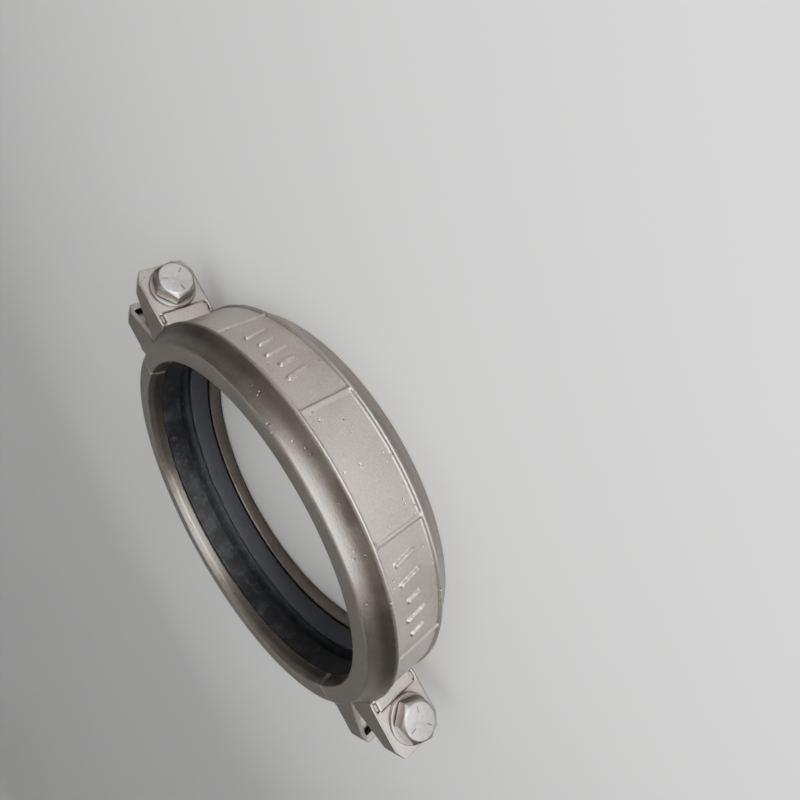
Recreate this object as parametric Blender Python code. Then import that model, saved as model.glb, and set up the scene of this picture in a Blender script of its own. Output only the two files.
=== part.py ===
"""A grooved pipe coupling: two cast housing halves bolted together round a C-section gasket.

The pipe's axis is +Z. The two bolts stand at -X (bolt 1) and +X (bolt 2) and run along Y,
with their heads on the +Y half and their nuts on the -Y half. The origin is the centre.
"""

import math

import bmesh
import bpy
from mathutils import Matrix

MM = 0.001

# The grooved pipe that the coupling holds.
PIPE_RADIUS = 109.55 * MM
GROOVE_DEPTH = 2.35 * MM
KEY_CLEARANCE = 0.3 * MM

# The housing's section. Widths run along the pipe, and depths run away from its axis.
HOUSING_WIDTH = 57.5 * MM
KEY_WIDTH = 9.8 * MM
KEY_BEVEL_WIDTH = 4.3 * MM
KEY_BEVEL_DEPTH = 1.5 * MM
KEY_CORNER = 0.6 * MM
FACE_DEPTH = 12.8 * MM
FACE_EDGE = 1.2 * MM
FLANK_WIDTH = 12.4 * MM
FLANK_DEPTH = 8.2 * MM
FLANK_HOLLOW = 1.3 * MM
RIM_WIDTH = 1.5 * MM
RIM_HEIGHT = 1.7 * MM
WALL = 5.2 * MM
CHANNEL_FILLET = 1.5 * MM
SPLIT_GAP = 0.9 * MM
SPLIT_CHAMFER = 2.2 * MM

# The cross ribs on the band of each half, as angles from the middle of the half.
RIB_ANGLES = (-47.5, -15.6, 15.6, 47.5)
RIB_RADIUS = 1.0 * MM

# The bolt lugs. PAD_HEIGHT is how far the washer's seat lies from the split plane. A lug's root
# keeps LUG_ROOT_COVER of metal to the channel, and SPLIT_TRIM is what the split cuts off the lug.
PAD_HEIGHT = 28 * MM
BOLT_FROM_RIM = 19 * MM
TIP_FROM_BOLT = 16.4 * MM
TIP_DEPTH = 10.9 * MM
LIP_WIDTH = 5.7 * MM
LIP_STEP = 1.3 * MM
CHEEK_START = 2.5 * MM
CHEEK_RISE = 1.7 * MM
LUG_WIDTH = 35 * MM
TIP_CHAMFER_LENGTH = 7.5 * MM
TIP_CHAMFER_WIDTH = 3.8 * MM
LUG_ROOT_COVER = 1.2 * MM
SPLIT_TRIM = 2.3 * MM
LUG_EDGE = 0.9 * MM
PAD_THICKNESS = 4.5 * MM
CHEEK_THICKNESS = 4 * MM
TIP_WALL = 5 * MM
POCKET_FILLET = 2 * MM
HOLE_CLEARANCE = 1 * MM
LEDGE_RISE = 0.8 * MM
LEDGE_INSET = 3.7 * MM
NOTCH_WIDTH = 1.8 * MM
NOTCH_DEPTH = 1.6 * MM
NOTCH_LENGTH = 6 * MM

# The gasket.
LIP_SQUEEZE = 0.55 * MM
GASKET_SIDE_CLEARANCE = 0.4 * MM
GASKET_SEAT_CLEARANCE = 1.4 * MM
GASKET_WALL = 3.5 * MM
GASKET_MOUTH = 8.8 * MM
GASKET_ROUND = 1.2 * MM

# The fasteners, of one M14 size.
BOLT_RADIUS = 7 * MM
BOLT_LENGTH = 98 * MM
BOLT_POINT = 1.4 * MM
ACROSS_FLATS = 22 * MM
HEAD_HEIGHT = 8.8 * MM
NUT_HEIGHT = 11 * MM
WASHER_RADIUS = 14 * MM
WASHER_THICKNESS = 2.5 * MM
WASHER_BORE_CLEARANCE = 0.5 * MM
WASHER_EDGE = 0.3 * MM
THREAD_CLEARANCE = 0.3 * MM
HEAD_TURNS = (12, 40)
NUT_TURNS = (5, 20)

# Touching pieces keep this gap.
TOUCH_GAP = 0.3 * MM

HALF_TURN_STEPS = 45
ROUND_STEPS = 32

key_radius = PIPE_RADIUS - GROOVE_DEPTH + KEY_CLEARANCE
face_radius = key_radius + FACE_DEPTH
rim_radius = face_radius + FLANK_DEPTH
band_radius = rim_radius - RIM_HEIGHT
channel_radius = band_radius - WALL
half_width = HOUSING_WIDTH / 2
channel_half = half_width - KEY_WIDTH
rim_outer = half_width - FLANK_WIDTH
band_half = rim_outer - RIM_WIDTH
split_height = SPLIT_GAP / 2
bolt_x = rim_radius + BOLT_FROM_RIM
tip_x = bolt_x + TIP_FROM_BOLT
root_radius = channel_radius + LUG_ROOT_COVER
ledge_start = math.sqrt(root_radius**2 - PAD_HEIGHT**2)
ledge_end = bolt_x - WASHER_RADIUS - TOUCH_GAP
ledge_half = LUG_WIDTH / 2 - LEDGE_INSET
washer_seat = PAD_HEIGHT + TOUCH_GAP
fastener_seat = washer_seat + WASHER_THICKNESS + TOUCH_GAP
pivot_x = bolt_x - WASHER_RADIUS


def clear_scene():
    for old in list(bpy.data.objects):
        bpy.data.objects.remove(old)


def make_material(name, colour, roughness, metallic):
    material = bpy.data.materials.new(name)
    material.use_nodes = True
    shader = material.node_tree.nodes["Principled BSDF"]
    shader.inputs["Base Color"].default_value = (*colour, 1)
    shader.inputs["Roughness"].default_value = roughness
    shader.inputs["Metallic"].default_value = metallic
    return material


def make_object(name, bm, material=None):
    bmesh.ops.recalc_face_normals(bm, faces=bm.faces)
    mesh = bpy.data.meshes.new(name)
    bm.to_mesh(mesh)
    bm.free()
    if material:
        mesh.materials.append(material)
    made = bpy.data.objects.new(name, mesh)
    bpy.context.scene.collection.objects.link(made)
    return made


def combine(base, tool, operation):
    """Works the tool's solid into the base's mesh, and removes the tool."""
    change = base.modifiers.new("combine", "BOOLEAN")
    change.operation = operation
    change.object = tool
    depsgraph = bpy.context.evaluated_depsgraph_get()
    old_mesh = base.data
    new_mesh = bpy.data.meshes.new_from_object(base.evaluated_get(depsgraph))
    base.modifiers.remove(change)
    base.data = new_mesh
    new_mesh.name = old_mesh.name
    bpy.data.meshes.remove(old_mesh)
    bpy.data.objects.remove(tool)


def shade(made, angle=32):
    made.data.shade_smooth()
    made.data.set_sharp_from_angle(angle=math.radians(angle))


def arc(centre_a, centre_b, radius, start, end, steps):
    """Points along a round corner, with angles in degrees."""
    angles = [math.radians(start + (end - start) * i / steps) for i in range(steps + 1)]
    return [(centre_a + radius * math.cos(a), centre_b + radius * math.sin(a)) for a in angles]


def curve(start, control, end, steps):
    """Points along a quadratic curve, without its two ends."""
    points = []
    for i in range(1, steps):
        t = i / steps
        weights = ((1 - t) ** 2, 2 * t * (1 - t), t * t)
        points.append(tuple(sum(w * p[k] for w, p in zip(weights, (start, control, end))) for k in (0, 1)))
    return points


def turned(section, sweep, steps):
    """A closed section of (radius, z) points turned about +Z from +X."""
    bm = bmesh.new()
    verts = [bm.verts.new((radius, 0, z)) for radius, z in section]
    edges = [bm.edges.new(pair) for pair in zip(verts, verts[1:] + verts[:1])]
    full = sweep == 360
    bmesh.ops.spin(
        bm, geom=verts + edges, axis=(0, 0, 1), cent=(0, 0, 0),
        angle=math.radians(sweep), steps=steps, use_merge=full,
    )
    if not full:
        bmesh.ops.holes_fill(bm, edges=bm.edges)
    return bm


def box(low, high):
    bm = bmesh.new()
    bmesh.ops.create_cube(bm, size=1)
    for vert in bm.verts:
        vert.co = [low[k] if vert.co[k] < 0 else high[k] for k in range(3)]
    return bm


def cylinder(radius, low, high, steps=ROUND_STEPS):
    """A cylinder about +Z."""
    bm = bmesh.new()
    bmesh.ops.create_cone(
        bm, cap_ends=True, segments=steps, radius1=radius, radius2=radius, depth=high - low,
        matrix=Matrix.Translation((0, 0, (low + high) / 2)),
    )
    return bm


def mirrored(section):
    """A section given for +z, carried on round the -z side."""
    return section + [(radius, -z) for radius, z in reversed(section)]


def ring_section():
    """The housing's section: key, side face, flank, rim, band and the gasket's channel."""
    flank_lean = math.degrees(math.atan2(FLANK_WIDTH, FLANK_DEPTH))
    edge = arc(face_radius - FACE_EDGE, half_width - FACE_EDGE, FACE_EDGE, 90, 90 - flank_lean, 2)
    rim_foot = (rim_radius - FACE_EDGE / 3, rim_outer)
    middle_radius = (edge[-1][0] + rim_foot[0]) / 2 - FLANK_HOLLOW
    middle_z = (edge[-1][1] + rim_foot[1]) / 2 - FLANK_HOLLOW / 2
    flank = curve(edge[-1], (middle_radius, middle_z), rim_foot, 4)
    key = [
        (key_radius + KEY_CORNER, channel_half),
        (key_radius, channel_half + KEY_CORNER),
        (key_radius, half_width - KEY_BEVEL_WIDTH),
        (key_radius + KEY_BEVEL_DEPTH, half_width),
    ]
    rim = [rim_foot, (rim_radius, rim_outer - FACE_EDGE / 4), (rim_radius, band_half + RIM_WIDTH / 6)]
    outside = key + edge + flank + rim + [(band_radius, band_half)]
    fillet_centre = (channel_radius - CHANNEL_FILLET, channel_half - CHANNEL_FILLET)
    inside = arc(*fillet_centre, CHANNEL_FILLET, 0, 90, 2)
    lower_inside = [(radius, -z) for radius, z in reversed(inside)]
    return mirrored(outside) + lower_inside + inside


def gasket_section():
    """The gasket's section: two lips that seal on the pipes, with a mouth between them."""
    lip = PIPE_RADIUS - LIP_SQUEEZE
    back = channel_radius - GASKET_SEAT_CLEARANCE
    side = channel_half - GASKET_SIDE_CLEARANCE
    mouth = GASKET_MOUTH / 2
    lip_edge = arc(lip + GASKET_ROUND, side - GASKET_ROUND, GASKET_ROUND, 180, 90, 2)
    back_edge = arc(back - GASKET_ROUND, side - GASKET_ROUND, GASKET_ROUND, 90, 0, 2)
    cavity = [
        (back - GASKET_WALL, side - GASKET_WALL - GASKET_ROUND),
        (back - GASKET_WALL - GASKET_ROUND, side - GASKET_WALL),
        (lip + GASKET_WALL, side - GASKET_WALL),
        (lip + GASKET_WALL / 2, mouth),
        (lip + GASKET_ROUND / 3, mouth),
        (lip, mouth + GASKET_ROUND / 3),
    ]
    return mirrored(cavity + lip_edge + back_edge)


def lug_outline():
    """The +X lug seen along the pipe: split corner, sloped cheek, tip, pad and the root in the ring."""
    corner = (rim_radius - CHEEK_START, split_height - TOUCH_GAP)
    slope_start = (rim_radius + CHEEK_START, split_height + CHEEK_RISE)
    lip = (tip_x - LIP_WIDTH, PAD_HEIGHT - TIP_DEPTH - LIP_STEP)
    tip_corner = (tip_x, PAD_HEIGHT - TIP_DEPTH)
    sloped = [corner] + curve(corner, (rim_radius, split_height), slope_start, 3) + [slope_start, lip]
    lip_curve = curve(lip, (tip_x - LIP_WIDTH * 0.7, tip_corner[1]), tip_corner, 3)
    root_end = math.degrees(math.asin(PAD_HEIGHT / root_radius))
    root_start = math.degrees(math.asin(-SPLIT_TRIM / root_radius))
    root = arc(0, 0, root_radius, root_end, root_start, 8)
    return root + [(corner[0], -SPLIT_TRIM)] + sloped + lip_curve + [tip_corner, (tip_x, PAD_HEIGHT)]


def chamfer_tip(bm):
    """Cuts the two corners off the lug's tip, as seen along the bolt."""
    for side in (-1, 1):
        bmesh.ops.bisect_plane(
            bm, geom=bm.verts[:] + bm.edges[:] + bm.faces[:], clear_outer=True,
            plane_co=(tip_x, 0, side * (LUG_WIDTH / 2 - TIP_CHAMFER_WIDTH)),
            plane_no=(TIP_CHAMFER_WIDTH, 0, side * TIP_CHAMFER_LENGTH),
        )
        bmesh.ops.holes_fill(bm, edges=bm.edges)


def lug_block():
    bm = bmesh.new()
    outline = [bm.verts.new((x, y, -LUG_WIDTH / 2)) for x, y in lug_outline()]
    face = bm.faces.new(outline)
    grown = bmesh.ops.extrude_face_region(bm, geom=[face])["geom"]
    top = [item for item in grown if isinstance(item, bmesh.types.BMVert)]
    bmesh.ops.translate(bm, verts=top, vec=(0, 0, LUG_WIDTH))
    chamfer_tip(bm)
    outer = [edge for edge in bm.edges if is_lug_edge(edge)]
    bmesh.ops.bevel(bm, geom=outer, offset=LUG_EDGE, segments=2, profile=0.5, affect="EDGES", material=-1)
    return bm


def is_lug_edge(edge):
    """Whether a lug's edge runs round one of its two sides, clear of the ring."""
    across = abs(edge.verts[0].co.z - edge.verts[1].co.z) > TIP_CHAMFER_WIDTH * 2
    clear = max(vert.co.x for vert in edge.verts) > rim_radius
    return clear and not across and edge.calc_face_angle() > math.radians(40)


def lug_pocket():
    """The hollow between a lug's cheeks, open towards the other half."""
    reach = LUG_WIDTH / 2 - CHEEK_THICKNESS
    bm = box(
        (channel_radius, -SPLIT_TRIM * 2, -reach),
        (tip_x - TIP_WALL, PAD_HEIGHT - PAD_THICKNESS, reach),
    )
    corners = [edge for edge in bm.edges if min(v.co.x for v in edge.verts) > rim_radius]
    bmesh.ops.bevel(bm, geom=corners, offset=POCKET_FILLET, segments=3, profile=0.5, affect="EDGES", material=-1)
    return bm


def lug_ledge():
    """The low step on the pad beside the ring."""
    bm = box(
        (ledge_start, PAD_HEIGHT - LEDGE_RISE, -ledge_half),
        (ledge_end, PAD_HEIGHT + LEDGE_RISE, ledge_half),
    )
    return bm


def lug_notch(side):
    """The slot in the pad beside one end of the ledge."""
    inner = ledge_half
    near, far = sorted((side * inner, side * (inner + NOTCH_WIDTH)))
    return box(
        (ledge_end - NOTCH_LENGTH, PAD_HEIGHT - NOTCH_DEPTH, near),
        (ledge_end, PAD_HEIGHT + NOTCH_DEPTH, far),
    )


def bolt_hole():
    bm = cylinder(BOLT_RADIUS + HOLE_CLEARANCE, -PAD_THICKNESS - TIP_WALL, PAD_THICKNESS)
    stand = Matrix.Translation((bolt_x, PAD_HEIGHT, 0)) @ Matrix.Rotation(-math.pi / 2, 4, "X")
    bmesh.ops.transform(bm, matrix=stand, verts=bm.verts)
    return bm


def make_lug(side):
    lug = make_object("lug", lug_block())
    combine(lug, make_object("pocket", lug_pocket()), "DIFFERENCE")
    combine(lug, make_object("ledge", lug_ledge()), "UNION")
    for end in (-1, 1):
        combine(lug, make_object("notch", lug_notch(end)), "DIFFERENCE")
    combine(lug, make_object("hole", bolt_hole()), "DIFFERENCE")
    if side < 0:
        lug.data.transform(Matrix.Scale(-1, 4, (1, 0, 0)))
        lug.data.flip_normals()
    return lug


def band_rib(angle):
    """A half-round rib across the band, from rim to rim."""
    reach = band_half + RIM_WIDTH / 3
    bm = cylinder(RIB_RADIUS, -reach, reach, 12)
    place = Matrix.Rotation(math.radians(90 + angle), 4, "Z") @ Matrix.Translation((band_radius, 0, 0))
    bmesh.ops.transform(bm, matrix=place, verts=bm.verts)
    return bm


def end_chamfer(side):
    """A square bar on its corner, which takes the inner edge off a key's end at the split."""
    bm = cylinder(SPLIT_CHAMFER, -HOUSING_WIDTH, HOUSING_WIDTH, 4)
    bmesh.ops.translate(bm, verts=bm.verts, vec=(side * key_radius, split_height, 0))
    return bm


def housing_half(name, material, turn, pivot):
    """One casting: half a ring with two lugs. Its mesh is moved so that its parent is its pivot."""
    half = make_object(name, turned(ring_section(), 180, HALF_TURN_STEPS), material)
    for side in (-1, 1):
        combine(half, make_lug(side), "UNION")
    for angle in RIB_ANGLES:
        combine(half, make_object("rib", band_rib(angle)), "UNION")
    below = box((-tip_x * 2, -PAD_HEIGHT, -HOUSING_WIDTH), (tip_x * 2, split_height, HOUSING_WIDTH))
    combine(half, make_object("split", below), "DIFFERENCE")
    for side in (-1, 1):
        combine(half, make_object("end_chamfer", end_chamfer(side)), "DIFFERENCE")
    half.rotation_euler.z = turn
    if pivot:
        half.parent = pivot
        half.location = -pivot.location
    shade(half)
    return half


def pivot_empty(name, x):
    """The line on the nut-side pads that a half rocks about when the other bolt's nut is backed off."""
    pivot = bpy.data.objects.new(name, None)
    pivot.location = (x, -PAD_HEIGHT, 0)
    bpy.context.scene.collection.objects.link(pivot)
    return pivot


def gasket_ring(material, pivot):
    ring = make_object("gasket_ring", turned(gasket_section(), 360, HALF_TURN_STEPS * 2), material)
    ring.parent = pivot
    ring.location = -pivot.location
    shade(ring)


def hexagon(name, height, chamfered_ends, turn, material):
    """A hexagon standing on z = 0, with its corners turned off at the ends that are named."""
    corner = ACROSS_FLATS / math.sqrt(3)
    flat = ACROSS_FLATS / 2 * 0.95
    drop = (corner - flat) * math.tan(math.radians(30))
    low = [(flat, 0), (corner, drop)] if "low" in chamfered_ends else [(corner, 0)]
    high = [(corner, height - drop), (flat, height)] if "high" in chamfered_ends else [(corner, height)]
    blank = turned_solid(low + high)
    hexagon_solid = cylinder(corner, -height, height * 2, 6)
    spin = Matrix.Rotation(math.radians(turn), 4, "Z")
    bmesh.ops.transform(hexagon_solid, matrix=spin, verts=hexagon_solid.verts)
    made = make_object(name, blank, material)
    combine(made, make_object("flats", hexagon_solid), "INTERSECT")
    return made


def turned_solid(profile):
    """A solid of revolution from an outline of (radius, z) points, closed onto the axis by flat ends."""
    bm = bmesh.new()
    verts = [bm.verts.new((radius, 0, z)) for radius, z in profile]
    edges = [bm.edges.new(pair) for pair in zip(verts, verts[1:])]
    bmesh.ops.spin(
        bm, geom=verts + edges, axis=(0, 0, 1), cent=(0, 0, 0),
        angle=math.tau, steps=ROUND_STEPS, use_merge=True,
    )
    bmesh.ops.holes_fill(bm, edges=bm.edges)
    return bm


def stand_on_bolt(made, side, height):
    """Puts a fastener on its bolt's axis, with its own +Z along +Y."""
    made.location = (side * bolt_x, height, 0)
    made.rotation_euler.x = -math.pi / 2
    shade(made)


def hex_bolt(number, side, material):
    bolt = hexagon(f"hex_bolt_{number}", HEAD_HEIGHT, ("high",), HEAD_TURNS[number - 1], material)
    shank = turned_solid([
        (BOLT_RADIUS - BOLT_POINT, -BOLT_LENGTH),
        (BOLT_RADIUS, BOLT_POINT - BOLT_LENGTH),
        (BOLT_RADIUS, HEAD_HEIGHT / 2),
    ])
    combine(bolt, make_object("shank", shank), "UNION")
    stand_on_bolt(bolt, side, fastener_seat)


def hex_nut(number, side, material):
    nut = hexagon(f"hex_nut_{number}", NUT_HEIGHT, ("low", "high"), NUT_TURNS[number - 1], material)
    bore = cylinder(BOLT_RADIUS + THREAD_CLEARANCE, -NUT_HEIGHT, NUT_HEIGHT * 2)
    combine(nut, make_object("bore", bore), "DIFFERENCE")
    stand_on_bolt(nut, side, -fastener_seat - NUT_HEIGHT)


def flat_washer(name, side, height, material):
    bore = BOLT_RADIUS + WASHER_BORE_CLEARANCE
    section = [
        (bore, 0),
        (WASHER_RADIUS - WASHER_EDGE, 0),
        (WASHER_RADIUS, WASHER_EDGE),
        (WASHER_RADIUS, WASHER_THICKNESS - WASHER_EDGE),
        (WASHER_RADIUS - WASHER_EDGE, WASHER_THICKNESS),
        (bore, WASHER_THICKNESS),
    ]
    washer = make_object(name, turned(section, 360, ROUND_STEPS), material)
    stand_on_bolt(washer, side, height)


def build():
    clear_scene()
    cast_steel = make_material("cast_stainless", (0.48, 0.45, 0.41), 0.42, 1)
    bright_steel = make_material("bright_stainless", (0.66, 0.64, 0.6), 0.24, 1)
    rubber = make_material("black_rubber", (0.02, 0.021, 0.024), 0.6, 0)

    housing_half("housing_head_side", cast_steel, 0, None)
    gasket_ring(rubber, pivot_empty("swing_pivot_at_bolt_2", pivot_x))
    housing_half("housing_nut_side", cast_steel, math.pi, pivot_empty("swing_pivot_at_bolt_1", -pivot_x))
    for number, side in ((1, -1), (2, 1)):
        hex_bolt(number, side, bright_steel)
        flat_washer(f"head_washer_{number}", side, washer_seat, bright_steel)
        flat_washer(f"nut_washer_{number}", side, -washer_seat - WASHER_THICKNESS, bright_steel)
        hex_nut(number, side, bright_steel)


build()
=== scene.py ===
"""A grooved pipe coupling: two cast housing halves bolted together round a rubber gasket."""

import math

import bmesh
import bpy
from mathutils import Matrix, Vector


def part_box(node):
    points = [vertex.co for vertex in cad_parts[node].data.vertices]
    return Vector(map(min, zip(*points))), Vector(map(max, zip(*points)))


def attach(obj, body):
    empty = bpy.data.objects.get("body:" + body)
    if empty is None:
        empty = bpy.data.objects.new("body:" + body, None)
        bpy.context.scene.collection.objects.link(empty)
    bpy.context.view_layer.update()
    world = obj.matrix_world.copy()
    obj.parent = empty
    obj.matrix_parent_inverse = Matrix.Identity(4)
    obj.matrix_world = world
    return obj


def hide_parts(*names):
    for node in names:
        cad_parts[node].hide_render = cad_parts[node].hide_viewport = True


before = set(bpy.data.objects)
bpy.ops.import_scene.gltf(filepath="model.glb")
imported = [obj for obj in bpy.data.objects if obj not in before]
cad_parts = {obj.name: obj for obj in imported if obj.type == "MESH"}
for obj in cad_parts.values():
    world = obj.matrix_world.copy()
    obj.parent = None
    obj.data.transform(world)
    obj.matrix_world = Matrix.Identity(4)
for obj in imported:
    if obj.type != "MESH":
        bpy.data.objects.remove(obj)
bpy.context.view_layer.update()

# The two housing halves are one stainless casting, used twice: half a ring with a bolt lug at each
# end. It is cast to shape, blasted all over, and its side faces and key bores are then machined.
MM = 0.001
RIM_RADIUS = 128.5 * MM
KEY_RADIUS = 107.5 * MM
FACE_RADIUS = 120.3 * MM
BAND_RADIUS = 126.8 * MM
CHANNEL_RADIUS = 121.6 * MM
KEY_WIDTH = 9.8 * MM
KEY_BEVEL_WIDTH = 4.3 * MM
KEY_BEVEL_DEPTH = 1.5 * MM
KEY_CORNER = 0.7 * MM
FACE_EDGE = 1.3 * MM
FLANK_WIDTH = 12.4 * MM
FLANK_HOLLOW = 1.3 * MM
RIM_WIDTH = 1.5 * MM
CHANNEL_FILLET = 1.5 * MM
SPLIT_CHAMFER = 2.2 * MM
SPLIT_TRIM = 2.3 * MM
RIB_ANGLES = (42.5, 74.4, 105.6, 137.5)
RIB_RADIUS = 1.15 * MM
PAD_HEIGHT = 28 * MM
PAD_THICKNESS = 4.5 * MM
TIP_DEPTH = 10.9 * MM
TIP_CHAMFER = (7.5 * MM, 3.8 * MM)
TIP_WALL = 5 * MM
LIP_WIDTH = 5.7 * MM
LIP_STEP = 1.3 * MM
CHEEK_START = 2.5 * MM
CHEEK_RISE = 1.7 * MM
CHEEK_THICKNESS = 4 * MM
LUG_WIDTH = 35 * MM
LUG_ROOT_COVER = 1.2 * MM
LUG_FOOT_X = 110 * MM
LUG_FOOT_REACH = 3 * MM
LEDGE_RISE = 0.8 * MM
LEDGE_WIDTH = 27.6 * MM
NOTCH = (6 * MM, 1.6 * MM, 1.8 * MM)
HOLE_RADIUS = 8 * MM
POCKET_ROUND = 2 * MM
BAR_WIDTH = 2.2 * MM
BAR_HEIGHT = 1.3 * MM
BAR_MIDDLE = 1.4 * MM
BAR_SLANT = 9
BLOB_RADIUS = 1.6 * MM
CAST_VOXEL = 0.5 * MM
CAST_FACES = 185_000
EDGE_ROUNDS = 2
FILLET_ROUNDS = 16

# Plain tally bars stand on two panels of the band, as (angle, length) pairs.
TALLY_BARS = (
    (130.6, 13), (126.6, 9), (122.6, 13), (118.6, 9), (114.6, 13),
    (68.4, 13), (63.4, 13), (58.4, 9), (53.4, 13), (48.4, 9),
)

half_low, half_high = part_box("housing_head_side")
washer_low, washer_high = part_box("head_washer_2")
half_width = half_high.z
tip_x = half_high.x
split_height = half_low.y
bolt_x = (washer_low.x + washer_high.x) / 2
ledge_end = washer_low.x - (washer_low.y - PAD_HEIGHT)
channel_half = half_width - KEY_WIDTH
rim_outer = half_width - FLANK_WIDTH
band_half = rim_outer - RIM_WIDTH


def in_scene(name, data):
    made = bpy.data.objects.new(name, data)
    bpy.context.scene.collection.objects.link(made)
    return made


def solid(name, bm):
    bmesh.ops.recalc_face_normals(bm, faces=bm.faces)
    mesh = bpy.data.meshes.new(name)
    bm.to_mesh(mesh)
    bm.free()
    return in_scene(name, mesh)


def settle(made):
    """Works a piece's modifiers into its mesh."""
    depsgraph = bpy.context.evaluated_depsgraph_get()
    finished = bpy.data.meshes.new_from_object(made.evaluated_get(depsgraph))
    made.modifiers.clear()
    made.data = finished


def combine(base, bm, operation):
    tool = solid("tool", bm)
    change = base.modifiers.new("combine", "BOOLEAN")
    change.operation = operation
    change.object = tool
    settle(base)
    bpy.data.objects.remove(tool)


def add_mesh(bm, made):
    """Moves a solid's faces into bm, and removes the solid."""
    bm.from_mesh(made.data)
    bpy.data.objects.remove(made)


def arc(centre_a, centre_b, radius, start, end, steps):
    angles = [math.radians(start + (end - start) * i / steps) for i in range(steps + 1)]
    return [(centre_a + radius * math.cos(a), centre_b + radius * math.sin(a)) for a in angles]


def curve(start, control, end, steps):
    """Points along a quadratic curve, with both its ends."""
    points = []
    for i in range(steps + 1):
        t = i / steps
        weighted = list(zip(((1 - t) ** 2, 2 * t * (1 - t), t * t), (start, control, end)))
        points.append(tuple(sum(weight * point[k] for weight, point in weighted) for k in (0, 1)))
    return points


def mirrored(section):
    return section + [(radius, -z) for radius, z in reversed(section)]


def turned(section, sweep, steps):
    """A closed section of (radius, z) points turned about +Z from +X, with its ends closed."""
    bm = bmesh.new()
    verts = [bm.verts.new((radius, 0, z)) for radius, z in section]
    edges = [bm.edges.new(pair) for pair in zip(verts, verts[1:] + verts[:1])]
    full = sweep == 360
    bmesh.ops.spin(
        bm, geom=verts + edges, axis=(0, 0, 1), cent=(0, 0, 0),
        angle=math.radians(sweep), steps=steps, use_merge=full,
    )
    if not full:
        bmesh.ops.holes_fill(bm, edges=bm.edges)
    return bm


def box(low, high):
    bm = bmesh.new()
    bmesh.ops.create_cube(bm, size=1)
    for vert in bm.verts:
        vert.co = [low[k] if vert.co[k] < 0 else high[k] for k in range(3)]
    return bm


def cylinder(radius, low, high, steps):
    bm = bmesh.new()
    bmesh.ops.create_cone(
        bm, cap_ends=True, segments=steps, radius1=radius, radius2=radius, depth=high - low,
        matrix=Matrix.Translation((0, 0, (low + high) / 2)),
    )
    return bm


def housing_section():
    """Key, machined side face, hollow flank, rim, band and the gasket's channel."""
    lean = math.degrees(math.atan2(FLANK_WIDTH, RIM_RADIUS - FACE_RADIUS))
    edge = arc(FACE_RADIUS - FACE_EDGE, half_width - FACE_EDGE, FACE_EDGE, 90, 90 - lean, 4)
    rim_foot = (RIM_RADIUS - FACE_EDGE / 3, rim_outer)
    hollow = (
        (edge[-1][0] + rim_foot[0]) / 2 - FLANK_HOLLOW,
        (edge[-1][1] + rim_foot[1]) / 2 - FLANK_HOLLOW / 2,
    )
    flank = curve(edge[-1], hollow, rim_foot, 8)[1:]
    key = arc(KEY_RADIUS + KEY_CORNER, channel_half + KEY_CORNER, KEY_CORNER, 270, 180, 3)
    bevel = [(KEY_RADIUS, half_width - KEY_BEVEL_WIDTH), (KEY_RADIUS + KEY_BEVEL_DEPTH, half_width)]
    rim = [
        (RIM_RADIUS, rim_outer - FACE_EDGE / 4),
        (RIM_RADIUS, band_half + RIM_WIDTH / 6),
        (BAND_RADIUS, band_half),
    ]
    fillet_radius, fillet_z = CHANNEL_RADIUS - CHANNEL_FILLET, channel_half - CHANNEL_FILLET
    inside = arc(fillet_radius, fillet_z, CHANNEL_FILLET, 0, 90, 4)
    far_inside = [(radius, -z) for radius, z in reversed(inside)]
    return mirrored(key + bevel + edge + flank + rim) + far_inside + inside


def below_split():
    low = (-tip_x * 2, -PAD_HEIGHT, -half_width * 2)
    return box(low, (tip_x * 2, split_height, half_width * 2))


def lug_outline():
    """The lug seen along the pipe: root in the ring, split corner, sloped cheek, lip, tip, pad."""
    root_radius = CHANNEL_RADIUS + LUG_ROOT_COVER
    corner = (RIM_RADIUS - CHEEK_START, split_height - LUG_ROOT_COVER)
    slope_start = (RIM_RADIUS + CHEEK_START, split_height + CHEEK_RISE)
    lip = (tip_x - LIP_WIDTH, PAD_HEIGHT - TIP_DEPTH - LIP_STEP)
    tip = (tip_x, PAD_HEIGHT - TIP_DEPTH)
    sloped = curve(corner, (RIM_RADIUS, split_height), slope_start, 5)
    lip_curve = curve(lip, (tip_x - LIP_WIDTH * 0.7, tip[1]), tip, 4)
    root_end = math.degrees(math.asin(PAD_HEIGHT / root_radius))
    root_start = math.degrees(math.asin(-SPLIT_TRIM / root_radius))
    root = arc(0, 0, root_radius, root_end, root_start, 8)
    return root + [(corner[0], -SPLIT_TRIM)] + sloped + lip_curve + [(tip_x, PAD_HEIGHT)]


def bolt_axis(side, height):
    """Takes +Z at the origin to a bolt's axis, with z = 0 at the given height."""
    return Matrix.Translation((side * bolt_x, height, 0)) @ Matrix.Rotation(-math.pi / 2, 4, "X")


def lug_block():
    bm = bmesh.new()
    outline = [bm.verts.new((x, y, -LUG_WIDTH / 2)) for x, y in lug_outline()]
    grown = bmesh.ops.extrude_face_region(bm, geom=[bm.faces.new(outline)])["geom"]
    far_side = [item for item in grown if isinstance(item, bmesh.types.BMVert)]
    bmesh.ops.translate(bm, verts=far_side, vec=(0, 0, LUG_WIDTH))
    length, width = TIP_CHAMFER
    for side in (-1, 1):
        bmesh.ops.bisect_plane(
            bm, geom=bm.verts[:] + bm.edges[:] + bm.faces[:], clear_outer=True,
            plane_co=(tip_x, 0, side * (LUG_WIDTH / 2 - width)), plane_no=(width, 0, side * length),
        )
        bmesh.ops.holes_fill(bm, edges=bm.edges)
    return bm


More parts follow.
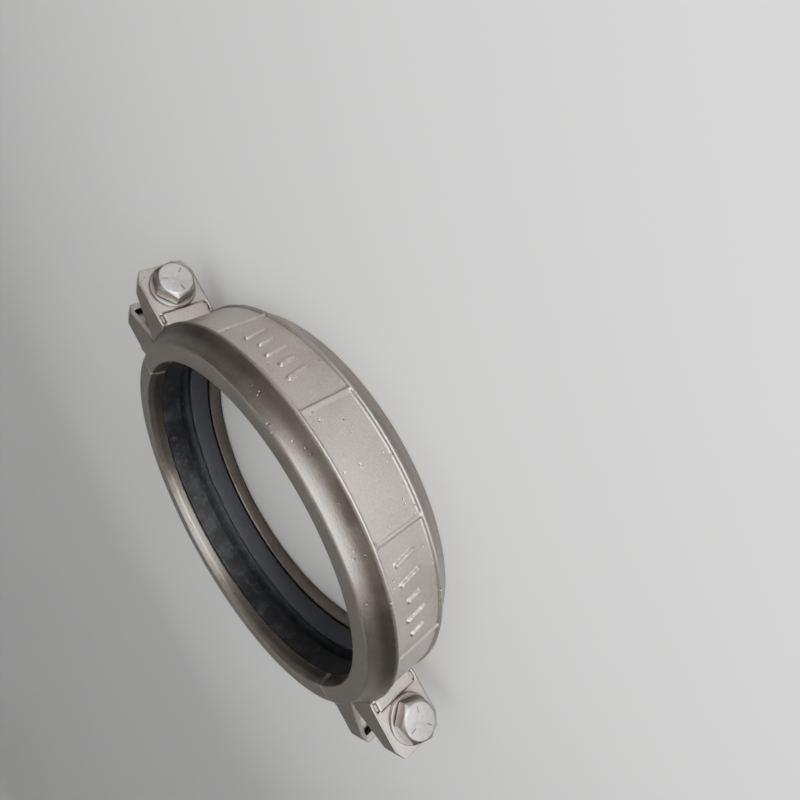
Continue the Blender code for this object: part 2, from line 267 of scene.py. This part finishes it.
def lug():
    """The lug at +X: pocket, pad ledge with its two end slots, and the bolt's hole."""
    made = solid("lug", lug_block())
    reach = LUG_WIDTH / 2 - CHEEK_THICKNESS
    pocket = box(
        (CHANNEL_RADIUS, -SPLIT_TRIM * 2, -reach),
        (tip_x - TIP_WALL, PAD_HEIGHT - PAD_THICKNESS, reach),
    )
    rounded = [edge for edge in pocket.edges if min(v.co.x for v in edge.verts) > RIM_RADIUS]
    bmesh.ops.bevel(
        pocket, geom=rounded, offset=POCKET_ROUND, segments=4, profile=0.5, affect="EDGES",
        material=-1,
    )
    combine(made, pocket, "DIFFERENCE")
    root_x = math.sqrt((CHANNEL_RADIUS + LUG_ROOT_COVER) ** 2 - PAD_HEIGHT**2)
    ledge = box(
        (root_x, PAD_HEIGHT - LEDGE_RISE, -LEDGE_WIDTH / 2),
        (ledge_end, PAD_HEIGHT + LEDGE_RISE, LEDGE_WIDTH / 2),
    )
    combine(made, ledge, "UNION")
    length, depth, width = NOTCH
    for side in (-1, 1):
        near, far = sorted((side * LEDGE_WIDTH / 2, side * (LEDGE_WIDTH / 2 + width)))
        slot_start = (ledge_end - length, PAD_HEIGHT - depth, near)
        slot = box(slot_start, (ledge_end, PAD_HEIGHT + depth, far))
        combine(made, slot, "DIFFERENCE")
    hole = cylinder(HOLE_RADIUS, -PAD_THICKNESS - TIP_WALL, PAD_THICKNESS, 48)
    bmesh.ops.transform(hole, matrix=bolt_axis(1, PAD_HEIGHT), verts=hole.verts)
    combine(made, hole, "DIFFERENCE")
    combine(made, below_split(), "DIFFERENCE")
    return made


def on_band(bm, angle, z=0, turn=0):
    """Places a mark, made at the origin and standing along +X, on the band at an angle from +X."""
    place = (
        Matrix.Rotation(math.radians(angle), 4, "Z")
        @ Matrix.Translation((BAND_RADIUS, 0, z))
        @ Matrix.Rotation(math.radians(turn), 4, "X")
    )
    bmesh.ops.transform(bm, matrix=place, verts=bm.verts)
    return bm


def half_ring():
    made = solid("casting", turned(housing_section(), 180, 150))
    combine(made, below_split(), "DIFFERENCE")
    for side in (-1, 1):
        bar = cylinder(SPLIT_CHAMFER, -half_width * 2, half_width * 2, 4)
        bmesh.ops.translate(bar, verts=bar.verts, vec=(side * KEY_RADIUS, split_height, 0))
        combine(made, bar, "DIFFERENCE")
    return made


def casting_blank():
    """The ring, lugs, ribs and marks as overlapping solids, which the skin then makes one."""
    made = half_ring()
    bm = bmesh.new()
    bm.from_mesh(made.data)
    one = lug()
    bm.from_mesh(one.data)
    one.data.transform(Matrix.Scale(-1, 4, (1, 0, 0)))
    one.data.flip_normals()
    add_mesh(bm, one)
    for angle in RIB_ANGLES:
        rib = cylinder(RIB_RADIUS, -band_half - RIM_WIDTH / 3, band_half + RIM_WIDTH / 3, 20)
        add_mesh(bm, solid("rib", on_band(rib, angle)))
    for angle, length in TALLY_BARS:
        reach = length * MM / 2
        bar = box((-MM, -BAR_WIDTH / 2, -reach), (BAR_HEIGHT, BAR_WIDTH / 2, reach))
        add_mesh(bm, solid("bar", on_band(bar, angle, BAR_MIDDLE, BAR_SLANT)))
    blob = bmesh.new()
    bmesh.ops.create_icosphere(blob, subdivisions=3, radius=BLOB_RADIUS)
    add_mesh(bm, solid("blob", on_band(blob, RIB_ANGLES[1], band_half)))
    bm.to_mesh(made.data)
    bm.free()
    return made


def soften(made, rounds, near=None):
    """Rounds the mesh's edges and hollows, or only those that the near test picks."""
    bm = bmesh.new()
    bm.from_mesh(made.data)
    picked = [vert for vert in bm.verts if near is None or near(vert.co)]
    for _ in range(rounds):
        bmesh.ops.smooth_vert(
            bm, verts=picked, factor=0.5, use_axis_x=True, use_axis_y=True, use_axis_z=True,
        )
    bm.to_mesh(made.data)
    bm.free()


def at_lug_root(place):
    """The strip round the foot of each lug's cheeks, where the casting has its largest fillets."""
    radius = math.hypot(place.x, place.y)
    across = band_half < abs(place.z) < LUG_WIDTH / 2 + FACE_EDGE
    along = FACE_RADIUS < radius < RIM_RADIUS + LUG_FOOT_REACH
    return across and along and abs(place.x) > LUG_FOOT_X


def casting():
    made = casting_blank()
    skin = made.modifiers.new("skin", "REMESH")
    skin.mode = "VOXEL"
    skin.voxel_size = CAST_VOXEL
    settle(made)
    soften(made, EDGE_ROUNDS)
    soften(made, FILLET_ROUNDS, at_lug_root)
    thin = made.modifiers.new("thin", "DECIMATE")
    thin.ratio = min(1, CAST_FACES / (2 * len(made.data.polygons)))
    settle(made)
    made.data.shade_smooth()
    return made


def finished_piece(piece, name, material, body, slot, *nodes):
    """Makes a solid into a named piece that rides on a body and stands for its CAD nodes."""
    piece.name = name
    piece.data.materials.clear()
    piece.data.materials.append(material)
    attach(piece, body)
    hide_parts(*nodes)


class Value:
    """A socket in a material's nodes. Sums, products and the like of values add Math nodes."""

    def __init__(self, tree, socket):
        self.tree, self.socket = tree, socket

    def node(self, kind, settings, inputs, output=0):
        """Adds a node: its type, its settings, what its sockets take, and the output it gives."""
        made = self.tree.nodes.new("ShaderNode" + kind)
        for name, setting in settings.items():
            setattr(made, name, setting)
        for name, given in inputs.items():
            if isinstance(given, Value):
                self.tree.links.new(given.socket, made.inputs[name])
            else:
                made.inputs[name].default_value = given
        return Value(self.tree, made.outputs[output])

    def maths(self, operation, *operands):
        return self.node("Math", {"operation": operation}, dict(enumerate(operands)))

    def __add__(self, other):
        return self.maths("ADD", self, other)

    def __sub__(self, other):
        return self.maths("SUBTRACT", self, other)

    def __rsub__(self, other):
        return self.maths("SUBTRACT", other, self)

    def __mul__(self, other):
        return self.maths("MULTIPLY", self, other)

    def __truediv__(self, other):
        return self.maths("DIVIDE", self, other)

    __radd__ = __add__
    __rmul__ = __mul__

    def root(self):
        return self.maths("SQRT", self)

    def noise(self, size, detail=2, stretch=(1, 1, 1), offset=0, roughness=0.5):
        """A soft random pattern from 0 to 1, with features of about the given size in metres."""
        place = {"Location": (offset, offset, offset), "Scale": tuple(k / size for k in stretch)}
        moved = self.node("Mapping", {}, {"Vector": self, **place})
        pattern = {"Scale": 1.0, "Detail": detail, "Roughness": roughness}
        return moved.node("TexNoise", {}, {"Vector": moved, **pattern})

    def between(self, low, high):
        """0 below low, 1 above high, and smooth between them."""
        settings = {"interpolation_type": "SMOOTHSTEP"}
        return self.node("MapRange", settings, {"Value": self, "From Min": low, "From Max": high})

    def mix(self, dark, light):
        """A colour from dark to light as this value goes from 0 to 1."""
        return self.node("Mix", {"data_type": "RGBA"}, {0: self, 6: dark, 7: light}, output=2)

    def parts(self):
        """The x, y and z of a place."""
        split = self.node("SeparateXYZ", {}, {0: self})
        others = split.socket.node.outputs
        return split, Value(self.tree, others[1]), Value(self.tree, others[2])

    def bump(self, height, strength=1.0):
        """A normal from this value as a height in metres."""
        return self.node("Bump", {}, {"Height": self, "Distance": height, "Strength": strength})

    def into(self, shader, socket):
        self.tree.links.new(self.socket, shader.inputs[socket])


def new_finish(name, metallic, **constants):
    """A material, its shader, and the Object coordinates that its patterns are made from."""
    material = bpy.data.materials.new(name)
    material.use_nodes = True
    tree = material.node_tree
    shader = tree.nodes["Principled BSDF"]
    shader.inputs["Metallic"].default_value = metallic
    for socket, value in constants.items():
        shader.inputs[socket.replace("_", " ")].default_value = value
    return material, shader, Value(tree, tree.nodes.new("ShaderNodeTexCoord").outputs["Object"])


STEEL_DARK = (0.26, 0.235, 0.205, 1)
STEEL_LIGHT = (0.58, 0.52, 0.48, 1)
STEEL_STAIN = (0.34, 0.28, 0.22, 1)
STEEL_RUBBED = (0.84, 0.82, 0.79, 1)
STEEL_PITS_AND_SHADE = (0.05, 0.042, 0.035, 1)
STEEL_SIDE_SHADE = (0.055, 0.048, 0.040, 1)


def blasted_stainless():
    """Blasted cast stainless: matt sparkling grain, faint stains, pits, edges rubbed bright, and
    painted shade in its creases and on its side faces.
    """
    material, shader, place = new_finish("blasted_cast_stainless", 1.0)
    geometry = place.node("NewGeometry", {}, {}, output="Pointiness")
    edge = geometry.between(0.53, 0.62)
    hollow = 1 - geometry.between(0.43, 0.492)
    grain = place.noise(0.9 * MM, 4, roughness=0.65)
    sand = place.noise(0.35 * MM, 2, offset=3)
    stain = place.noise(24 * MM, 3, offset=7)
    x, y, z = place.parts()
    side = z.maths("ABSOLUTE", z)
    machined = side.between(half_width - 0.5 * MM, half_width - 0.2 * MM)
    flat_side = side.between(rim_outer - MM, rim_outer + MM)
    cells = place.node("TexVoronoi", {}, {"Vector": place, "Scale": 260.0, "Randomness": 1.0})
    pits = 1 - cells.between(0.1, 0.2)
    pits = pits * place.noise(9 * MM, 2, offset=11).between(0.52, 0.62)
    tone = (grain * 0.55 + sand * 0.25 + stain * 0.35 - 0.2).between(0.15, 0.85)
    colour = tone.mix(STEEL_DARK, STEEL_LIGHT)
    colour = (stain.between(0.5, 0.72) * 0.3).mix(colour, STEEL_STAIN)
    colour = (edge * 0.85).mix(colour, STEEL_RUBBED)
    # Dark pits, and painted shade in the creases at the feet of the ribs, marks and lugs.
    pits_and_crease_shade = hollow * 0.8 + pits * 0.5
    colour = pits_and_crease_shade.maths("MINIMUM", pits_and_crease_shade, 1.0).mix(colour, STEEL_PITS_AND_SHADE)
    # Painted shade: the side faces and flanks are painted darker, most in the flank's hollow,
    # standing for the dark reflections on those sides; the stain pattern varies it a little.
    radius = (x * x + y * y).root()
    outer_flank = radius.between(127 * MM, 128.2 * MM)
    shaded_flank_hollow = radius.between(121.5 * MM, 125 * MM) * (1 - outer_flank)
    painted_side_shade = flat_side * (0.5 + shaded_flank_hollow * 0.32 + stain.between(0.45, 0.7) * 0.12)
    painted_side_shade.mix(colour, STEEL_SIDE_SHADE).into(shader, "Base Color")
    (0.27 + grain * 0.16 - edge * 0.08 - machined * 0.04 + hollow * 0.15).into(shader, "Roughness")
    relief = grain * (1 - machined * 0.8) + sand * 0.4 - pits * 3
    relief.bump(0.12 * MM, 0.8).into(shader, "Normal")
    return material


head_half = casting()
nut_half = in_scene("nut_half", head_half.data.copy())
nut_half.data.transform(Matrix.Rotation(math.pi, 4, "Z"))
cast_steel = blasted_stainless()
for half, end, body, node in (
    (head_half, "heads", "housing", "housing_head_side"),
    (nut_half, "nuts", "nut_half", "housing_nut_side"),
):
    finished_piece(half, f"housing_half_at_{end}", cast_steel, body, "cast_stainless", node)

# The gasket is one moulded ring of black rubber. Its C section opens inwards, and its two lips
# seal on the pipes; it sits loose in the housing's channel and is slipped over the pipe ends first.
LIP_RADIUS = 109 * MM
GASKET_BACK = 120.2 * MM
GASKET_SIDE = channel_half - 0.4 * MM
GASKET_WALL = 3.5 * MM
MOUTH = 4.4 * MM
LIP_ROUND = 1.2 * MM
SEAL_BEAD = 0.04 * MM
RUBBER_BLACK = (0.006, 0.006, 0.007, 1)
RUBBER_BLOOM_AND_SHEEN = (0.055, 0.058, 0.064, 1)


def gasket_section():
    """The C, whose lips each have three low sealing beads between their side edge and the mouth."""
    back_edge = arc(GASKET_BACK - LIP_ROUND, GASKET_SIDE - LIP_ROUND, LIP_ROUND, 0, 90, 5)
    lip_edge = arc(LIP_RADIUS + LIP_ROUND, GASKET_SIDE - LIP_ROUND, LIP_ROUND, 90, 180, 5)
    run = GASKET_SIDE - LIP_ROUND - MOUTH
    beads = []
    for i in range(1, 20):
        t = i / 20
        dip = SEAL_BEAD * math.sin(3 * math.pi * t) ** 2
        beads.append((LIP_RADIUS + dip, GASKET_SIDE - LIP_ROUND - run * t))
    inner = LIP_RADIUS + GASKET_WALL
    corner = LIP_ROUND / 2
    mouth_edge = arc(LIP_RADIUS + corner, MOUTH + corner, corner, 180, 270, 3)
    cavity = [
        (LIP_RADIUS + GASKET_WALL / 2, MOUTH),
        (inner, GASKET_SIDE - GASKET_WALL - LIP_ROUND),
        (GASKET_BACK - GASKET_WALL - LIP_ROUND, GASKET_SIDE - GASKET_WALL),
        (GASKET_BACK - GASKET_WALL, GASKET_SIDE - GASKET_WALL - LIP_ROUND),
    ]
    return mirrored(back_edge + lip_edge + beads + mouth_edge + cavity)


def moulded_rubber():
    """Black rubber with the grey bloom and scuffs that handling leaves on its lips, and a grey
    sheen painted across its far half.
    """
    material, shader, place = new_finish("moulded_black_rubber", 0.0, Specular_IOR_Level=0.3)
    x, y, z = place.parts()
    around = x.maths("ARCTAN2", y, x)
    radius = (x * x + y * y).root()
    unrolled = place.node("CombineXYZ", {}, {0: around * LIP_RADIUS, 1: radius, 2: z})
    cloud = unrolled.noise(13 * MM, 4, offset=2, roughness=0.6)
    rubbed = unrolled.noise(4 * MM, 5, (0.8, 1, 1), 5, 0.7)
    specks = unrolled.noise(1.1 * MM, 2, offset=9)
    bloom_and_sheen = cloud.between(0.45, 0.75) * 0.6 + rubbed.between(0.52, 0.68) * 0.5
    bloom_and_sheen = bloom_and_sheen + specks.between(0.66, 0.74) * 0.7
    # Painted sheen: the ring's far half is painted grey, growing from its middle outwards, standing
    # for a reflection on the far lip.
    film_and_sheen = (-1 * z).between(0, 9 * MM) * (0.9 + cloud * 1.1)
    bloom_and_sheen = bloom_and_sheen * 0.7 + film_and_sheen
    bloom_and_sheen.mix(RUBBER_BLACK, RUBBER_BLOOM_AND_SHEEN).into(shader, "Base Color")
    (0.52 + bloom_and_sheen * 0.16).into(shader, "Roughness")
    (rubbed + specks * 0.6).bump(0.08 * MM, 0.5).into(shader, "Normal")
    return material


ring = solid("gasket_blank", turned(gasket_section(), 360, 240))
ring.data.shade_smooth()
ring.data.set_sharp_from_angle(angle=math.radians(50))
finished_piece(ring, "rubber_gasket", moulded_rubber(), "gasket", "black_rubber", "gasket_ring")

# Each joint has one M14 bolt of cold-headed stainless, with a plain shank and a rolled thread.
# The bolt's own +Z runs from its point to its head, and z = 0 is under the head.
BOLT_RADIUS = 7 * MM
SHANK_RADIUS = 6.85 * MM
ACROSS_FLATS = 22 * MM
HEAD_HEIGHT = 8.8 * MM
THREAD_START = -47 * MM
PITCH = 2 * MM
THREAD_DEPTH = 1.2 * MM
WASHER_FACE = (10.4 * MM, 0.35 * MM)
HEAD_TURNS = (12, 40)
NUT_TURNS = (5, 20)
THREAD_STEPS = 36
HEX_CHAMFER_START = 0.87
HEX_CHAMFER_ANGLE = 30
HEX_EDGE = 0.3 * MM
SHANK_FLARE = 0.5 * MM
HEAD_CUTS = 3
CUT_START = 4.6 * MM
CUT_END = 8.3 * MM
CUT_WIDTH = 1 * MM
CUT_DEPTH = 0.5 * MM
BRIGHT_DARK = (0.34, 0.32, 0.30, 1)
BRIGHT_LIGHT = (0.66, 0.645, 0.625, 1)
BRIGHT_SHADED = (0.10, 0.085, 0.07, 1)


def thread(low, high, extra, limits):
    """A closed threaded rod, moved out by extra. limits(z) gives its least and largest radius."""
    crest, root = BOLT_RADIUS + extra, BOLT_RADIUS - THREAD_DEPTH + extra
    outline = [(root, 0), (root, 0.12), (crest, 0.44), (crest, 0.56), (root, 0.88), (root, 1)]
    first = math.floor(low / PITCH) - 1
    turns = math.ceil((high - low) / PITCH) + 2
    bm = bmesh.new()
    verts = [bm.verts.new((radius, 0, (first + share) * PITCH)) for radius, share in outline]
    edges = [bm.edges.new(pair) for pair in zip(verts, verts[1:])]
    steps = THREAD_STEPS * turns
    bmesh.ops.spin(
        bm, geom=verts + edges, axis=(0, 0, 1), cent=(0, 0, 0), dvec=(0, 0, PITCH / THREAD_STEPS),
        angle=math.tau * turns, steps=steps, use_merge=False,
    )
    bmesh.ops.remove_doubles(bm, verts=bm.verts, dist=0.002 * MM)
    for height, up in ((low, -1), (high, 1)):
        bmesh.ops.bisect_plane(
            bm, geom=bm.verts[:] + bm.edges[:] + bm.faces[:], dist=0.001 * MM, clear_outer=True,
            plane_co=(0, 0, height), plane_no=(0, 0, up),
        )
    bmesh.ops.holes_fill(bm, edges=bm.edges)
    for vert in bm.verts:
        radius = math.hypot(vert.co.x, vert.co.y)
        least, largest = limits(vert.co.z)
        wanted = min(max(radius, least), largest)
        vert.co.x *= wanted / radius
        vert.co.y *= wanted / radius
    return bm


def turned_blank(profile, steps=96):
    """A solid of revolution from an outline of (radius, z) points, with flat ends on the axis."""
    bm = bmesh.new()
    verts = [bm.verts.new((radius, 0, z)) for radius, z in profile]
    edges = [bm.edges.new(pair) for pair in zip(verts, verts[1:])]
    bmesh.ops.spin(
        bm, geom=verts + edges, axis=(0, 0, 1), cent=(0, 0, 0),
        angle=math.tau, steps=steps, use_merge=True,
    )
    bmesh.ops.holes_fill(bm, edges=bm.edges)
    return bm


def hexagon(name, low, high, both_ends, turn):
    """A hexagon from low to high, its corners turned off at the top, or at both ends."""
    corner = ACROSS_FLATS / math.sqrt(3)
    flat = ACROSS_FLATS / 2 * HEX_CHAMFER_START
    drop = (corner - flat) * math.tan(math.radians(HEX_CHAMFER_ANGLE))
    start = [(flat, low), (corner, low + drop)] if both_ends else [(corner, low)]
    made = solid(name, turned_blank(start + [(corner, high - drop), (flat, high)]))
    prism = cylinder(corner, low - MM, high + MM, 6)
    turn_prism = Matrix.Rotation(math.radians(turn), 4, "Z")
    bmesh.ops.transform(prism, matrix=turn_prism, verts=prism.verts)
    combine(made, prism, "INTERSECT")
    return made


def round_edges(made, width, angle=25):
    edges = made.modifiers.new("edges", "BEVEL")
    edges.width = width
    edges.segments = 2
    edges.limit_method = "ANGLE"
    edges.angle_limit = math.radians(angle)
    settle(made)


def on_bolt(made, side, seat):
    """Moves a fastener from the bolt's own axis to its place on the coupling."""
    made.data.transform(bolt_axis(side, seat))
    made.data.shade_smooth()
    made.data.set_sharp_from_angle(angle=math.radians(28))


def bolt_limits(end):
    """The rod's limits: a chamfered point at its end, and a thread that runs out at the shank."""

    def limits(z):
        runout = max(0, (z - THREAD_START + 2 * PITCH) / (2 * PITCH))
        least = BOLT_RADIUS - THREAD_DEPTH * max(0, 1 - runout)
        point = BOLT_RADIUS - THREAD_DEPTH * 1.1 + (z - end)
        return min(least, point), min(BOLT_RADIUS, point)

    return limits


def hex_bolt(number, side, seat, end):
    face_radius, face_height = WASHER_FACE
    made = hexagon("bolt_blank", face_height, HEAD_HEIGHT, False, HEAD_TURNS[number - 1])
    round_edges(made, HEX_EDGE)
    head_turn = math.radians(HEAD_TURNS[number - 1])
    for i in range(HEAD_CUTS):
        cut = box(
            (CUT_START, -CUT_WIDTH / 2, HEAD_HEIGHT - CUT_DEPTH),
            (CUT_END, CUT_WIDTH / 2, HEAD_HEIGHT + MM),
        )
        cut_turn = Matrix.Rotation(head_turn + i * math.tau / HEAD_CUTS, 4, "Z")
        bmesh.ops.transform(cut, matrix=cut_turn, verts=cut.verts)
        combine(made, cut, "DIFFERENCE")
    shank = turned_blank([
        (SHANK_RADIUS, THREAD_START - MM), (SHANK_RADIUS, -SHANK_FLARE),
        (SHANK_RADIUS + SHANK_FLARE, 0), (face_radius, 0), (face_radius, face_height + 0.5 * MM),
    ])
    combine(made, shank, "UNION")
    combine(made, thread(end, THREAD_START, 0, bolt_limits(end)), "UNION")
    on_bolt(made, side, seat)
    return made


def bright_stainless(name, side, top):
    """Cold-formed stainless: bright, with turning rings about the bolt's axis and fine wear, and
    painted shade on all but the top of the bolt's head.
    """
    material, shader, place = new_finish(name, 1.0)
    centred = place.node("Mapping", {}, {"Vector": place, "Location": (-side * bolt_x, 0, 0)})
    x, y, z = centred.parts()
    radius = (x * x + z * z).root()
    pattern = {"W": radius / (0.45 * MM), "Scale": 1.0, "Detail": 3.0}
    rings = radius.node("TexNoise", {"noise_dimensions": "1D"}, pattern)
    wear = centred.noise(2.5 * MM, 4, offset=4, roughness=0.65)
    film_and_sheen = centred.noise(9 * MM, 3, offset=8)
    tone = (wear * 0.6 + film_and_sheen * 0.6 - 0.1).between(0.2, 0.8)
    colour = tone.mix(BRIGHT_DARK, BRIGHT_LIGHT)
    # Painted shade: everything below the top of the bolt's head is painted dark, so only the top
    # face stays bright; the wear pattern varies it.
    shade_below_top = (1 - y.between(top - 0.45 * MM, top - 0.1 * MM)) * (0.55 + wear * 0.3)
    shade_below_top.mix(colour, BRIGHT_SHADED).into(shader, "Base Color")
    (0.2 + wear * 0.14 + rings * 0.08).into(shader, "Roughness")
    (rings * 0.5 + wear).bump(0.04 * MM, 0.4).into(shader, "Normal")
    return material


JOINTS = ((1, -1), (2, 1))
seats, steels = {}, {}


def bright_piece(made, name, number, body, node):
    """Finishes a fastener in the bright stainless of its own joint."""
    finished_piece(made, name, steels[number], body, "bright_stainless", node)


for number, side in JOINTS:
    low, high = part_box(f"hex_bolt_{number}")
    seats[number] = high.y - HEAD_HEIGHT
    steels[number] = bright_stainless(f"bright_stainless_{number}", side, high.y)
    bolt = hex_bolt(number, side, seats[number], low.y - seats[number])
    bright_piece(bolt, f"bolt_{number}_m14", number, f"bolt_{number}", f"hex_bolt_{number}")

# A plain stamped washer sits under each head and each nut. Stamping leaves its upper edge rounded
# and its lower edge sharp, and its flat faces keep the faint marks of the sheet.
WASHER_RADIUS = 14 * MM
WASHER_BORE = 7.5 * MM
STAMPED_EDGE = 0.6 * MM
STAMPED_NICK = 0.12 * MM


def washer(low, high):
    edge = arc(WASHER_RADIUS - STAMPED_EDGE, high - STAMPED_EDGE, STAMPED_EDGE, 0, 90, 5)
    bore = arc(WASHER_BORE + STAMPED_EDGE, high - STAMPED_EDGE, STAMPED_EDGE, 90, 180, 4)
    underside = [
        (WASHER_BORE, low),
        (WASHER_RADIUS - STAMPED_NICK, low),
        (WASHER_RADIUS, low + STAMPED_NICK),
    ]
    return solid("washer_blank", turned(underside + edge + bore, 360, 96))


for number, side in JOINTS:
    seat = seats[number]
    for end, body in (("head", "housing"), ("nut", f"washer_{number}")):
        low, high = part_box(f"{end}_washer_{number}")
        made = washer(low.y - seat, high.y - seat)
        on_bolt(made, side, seat)
        bright_piece(made, f"washer_{number}_at_{end}", number, body, f"{end}_washer_{number}")

# The nuts are M14 hexagons, chamfered at both ends and tapped to match the bolts' thread, with a
# countersink at each mouth of the thread. Each rests against the washer on its side of the joint.
THREAD_CLEARANCE = 0.15 * MM
COUNTERSINK = 0.9 * MM


def hex_nut(number, side, seat, low, high):
    made = hexagon("nut_blank", low, high, True, NUT_TURNS[number - 1])
    round_edges(made, HEX_EDGE)

    def limits(z):
        mouth = COUNTERSINK - min(z - low, high - z)
        least = BOLT_RADIUS + mouth if mouth > -THREAD_DEPTH else 0
        return least, 2 * BOLT_RADIUS

    combine(made, thread(low - MM, high + MM, THREAD_CLEARANCE, limits), "DIFFERENCE")
    on_bolt(made, side, seat)
    return made


for number, side in JOINTS:
    seat = seats[number]
    low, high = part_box(f"hex_nut_{number}")
    nut = hex_nut(number, side, seat, low.y - seat, high.y - seat)
    bright_piece(nut, f"nut_{number}_m14", number, f"nut_{number}", f"hex_nut_{number}")

# The coupling lies in a round paper sweep: a pale floor that curves up into a wall all round.
# The floor is just clear of the housing's lower side face.
FLOOR_RADIUS = 1.0
FLOOR_START = 0.5 * MM
FLOOR_GAP = 0.5 * MM
SWEEP_RADIUS = 1.6
SWEEP_END = 320
PAPER_DARK = (0.74, 0.74, 0.735, 1)
PAPER_LIGHT = (0.78, 0.78, 0.775, 1)


def paper_sweep():
    floor = half_low.z - FLOOR_GAP
    wall = arc(FLOOR_RADIUS, floor + SWEEP_RADIUS, SWEEP_RADIUS, 270, SWEEP_END, 16)
    bm = turned_blank([(FLOOR_START, floor)] + wall)
    mesh = bpy.data.meshes.new("paper_sweep")
    bm.to_mesh(mesh)
    bm.free()
    mesh.shade_smooth()
    return in_scene("paper_sweep", mesh)


sweep = paper_sweep()
paper, paper_shader, paper_place = new_finish("pale_paper", 0.0, Roughness=0.8)
paper_place.noise(0.3, 3).mix(PAPER_DARK, PAPER_LIGHT).into(paper_shader, "Base Color")
sweep.data.materials.append(paper)


# A long, low strip on the bolt heads' side makes the bright bands on the steel. A small lamp
# overhead lights the side faces, and a wider one fills the far side. The world is nearly dark.
def soft_light(name, place, aim, width, height, power):
    light = bpy.data.lights.new(name, "AREA")
    light.shape = "RECTANGLE"
    light.size, light.size_y, light.energy = width, height, power
    lamp = in_scene(name, light)
    lamp.location = place
    lamp.rotation_euler = (Vector(aim) - Vector(place)).to_track_quat("-Z", "Y").to_euler()


soft_light("front", (0.12, 0.62, 0.10), (0, 0.1, -0.03), 0.8, 0.16, 12)
soft_light("overhead", (-0.05, -0.1, 1.2), (0, 0, 0), 0.2, 0.2, 11)
soft_light("back_fill", (0.3, -0.7, 1.1), (0, 0, 0), 0.4, 0.4, 5)

world = bpy.data.worlds.new("studio")
world.use_nodes = True
background = world.node_tree.nodes["Background"]
background.inputs["Color"].default_value = (0.9, 0.92, 1, 1)
background.inputs["Strength"].default_value = 0.003
bpy.context.scene.world = world

# The camera stands close to the coupling on the bolt heads' side and a little above it. Its wide
# lens is shifted slightly to one side.
camera = bpy.data.cameras.new("camera")
camera.lens = 24.78
camera.shift_x, camera.shift_y = 0.062, 0.0025
camera.clip_start = 0.01
viewer = in_scene("camera", camera)
viewer.location = (-0.0148, 0.3411, 0.1298)
viewer.rotation_euler = [math.radians(angle) for angle in (-35.54, 48.18, 42.71)]
bpy.context.scene.camera = viewer
